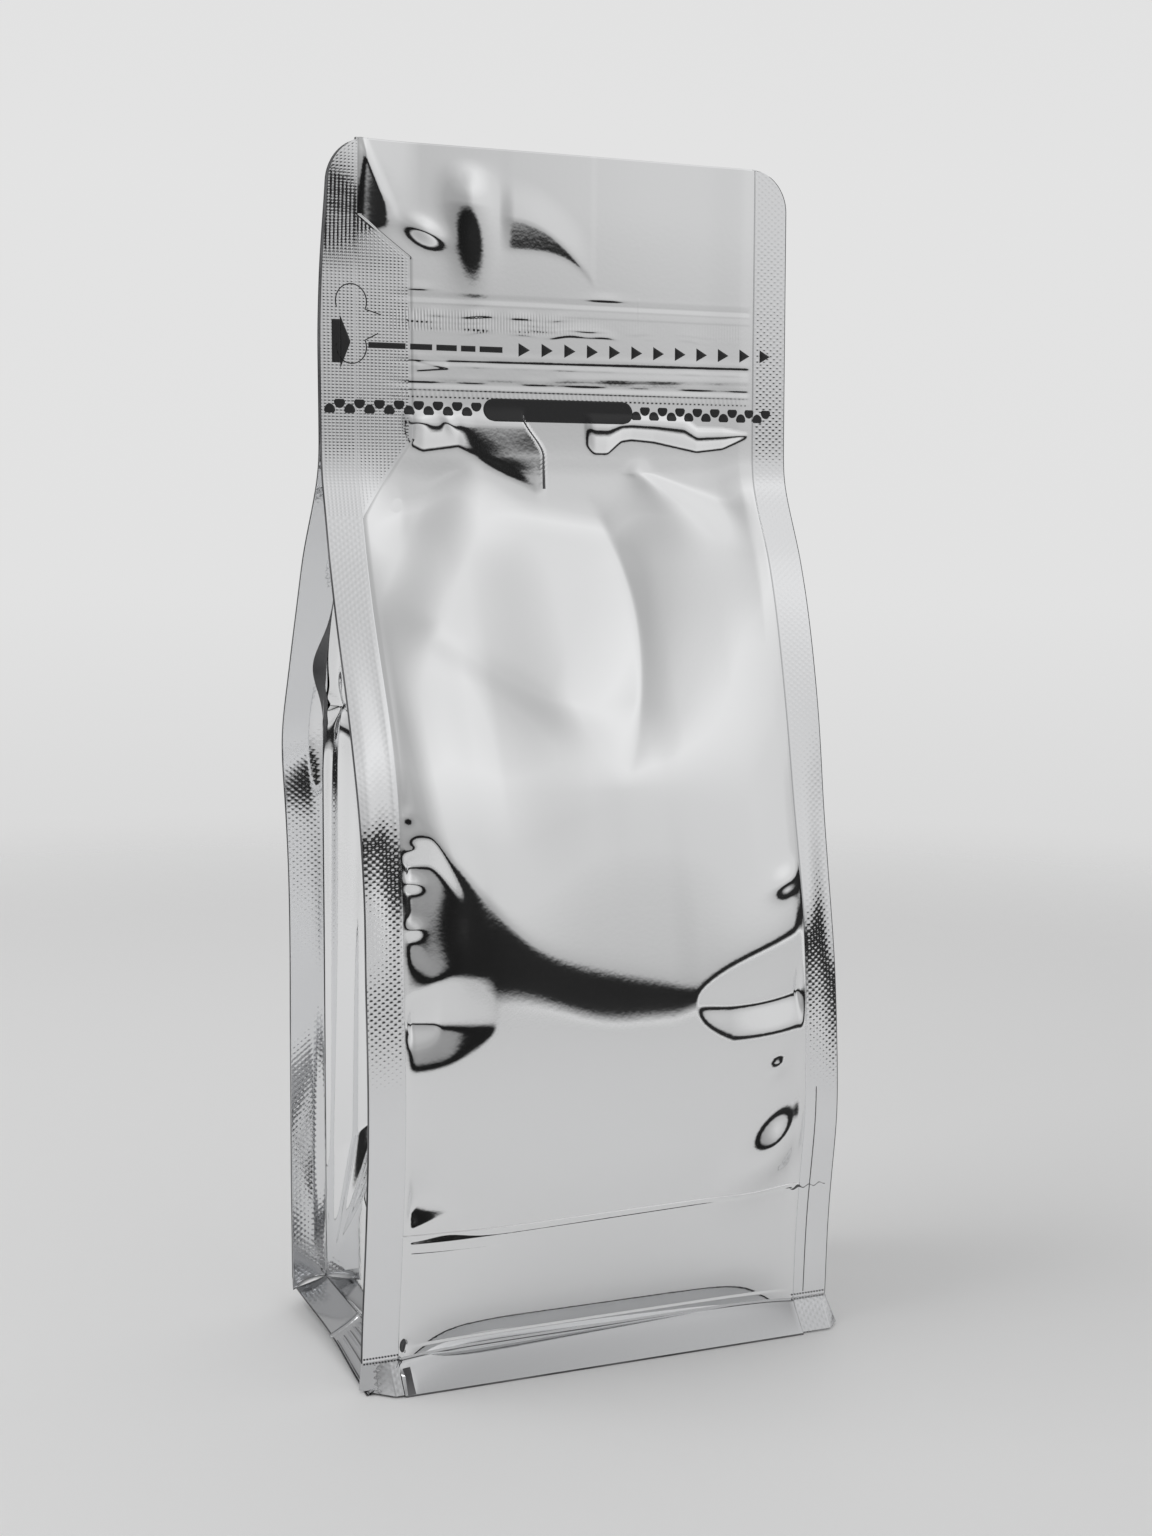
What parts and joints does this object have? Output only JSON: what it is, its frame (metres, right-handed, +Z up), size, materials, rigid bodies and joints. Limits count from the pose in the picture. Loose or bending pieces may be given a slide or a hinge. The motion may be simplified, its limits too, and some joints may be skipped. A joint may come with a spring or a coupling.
{
  "type": "flat-bottom pouch",
  "caption": "Tall shut stand-up pouch of bright metallised film with embossed side seals, side gussets, a zipper band with a tear strip, and a flared bottom flange.",
  "frame": {"origin": "on the floor, under the middle of the pouch's bounding box", "axes": "+Z up the pouch, the front panel with the tear strip faces -Y, +X to the right seen from the front"},
  "size_m": [0.1378, 0.0839, 0.319],
  "materials": {
    "film": "mirror-bright metallised plastic film, slightly satin",
    "print": "black ink printed on the film"
  },
  "bodies": {
    "root": {"pouch": "film"}
  },
  "joints": []
}
